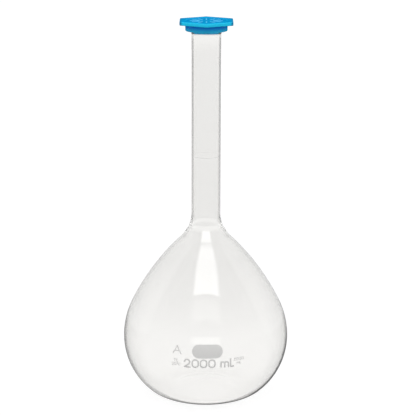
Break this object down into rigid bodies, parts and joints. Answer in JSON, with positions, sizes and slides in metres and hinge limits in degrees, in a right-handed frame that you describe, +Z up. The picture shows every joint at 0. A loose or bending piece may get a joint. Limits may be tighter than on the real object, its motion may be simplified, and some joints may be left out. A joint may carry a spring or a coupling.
{
  "type": "volumetric flask",
  "caption": "Clear glass volumetric flask with a pear-shaped bulb, a long narrow neck with a graduation line, printed capacity, and a blue hexagonal snap cap that pulls off.",
  "frame": {"origin": "centre of the base, on the plane that the foot ring stands on", "axes": "+Z up along the flask's axis, the print faces -Y, +X is to the right seen from the printed side"},
  "size_m": [0.1606, 0.1607, 0.3656],
  "materials": {
    "clear_glass": "clear borosilicate glass, fire polished",
    "blue_polyethylene": "semi-gloss moulded polyethylene",
    "fired_enamel": "matt fired enamel, slightly grainy"
  },
  "bodies": {
    "flask": {"bulb": "clear_glass", "neck": "clear_glass", "graduation_line": "fired_enamel", "marking_spot": "fired_enamel", "capacity_number": "fired_enamel", "capacity_unit": "fired_enamel", "class_mark": "fired_enamel", "temperature_note": "fired_enamel", "tolerance_note": "fired_enamel"},
    "cap": {"snap_cap": "blue_polyethylene"}
  },
  "joints": [
    {"name": "cap_lift", "type": "slide", "parent": "flask", "child": "cap", "axis": [0, 0, 1], "range_m": [0, 0.1]}
  ]
}
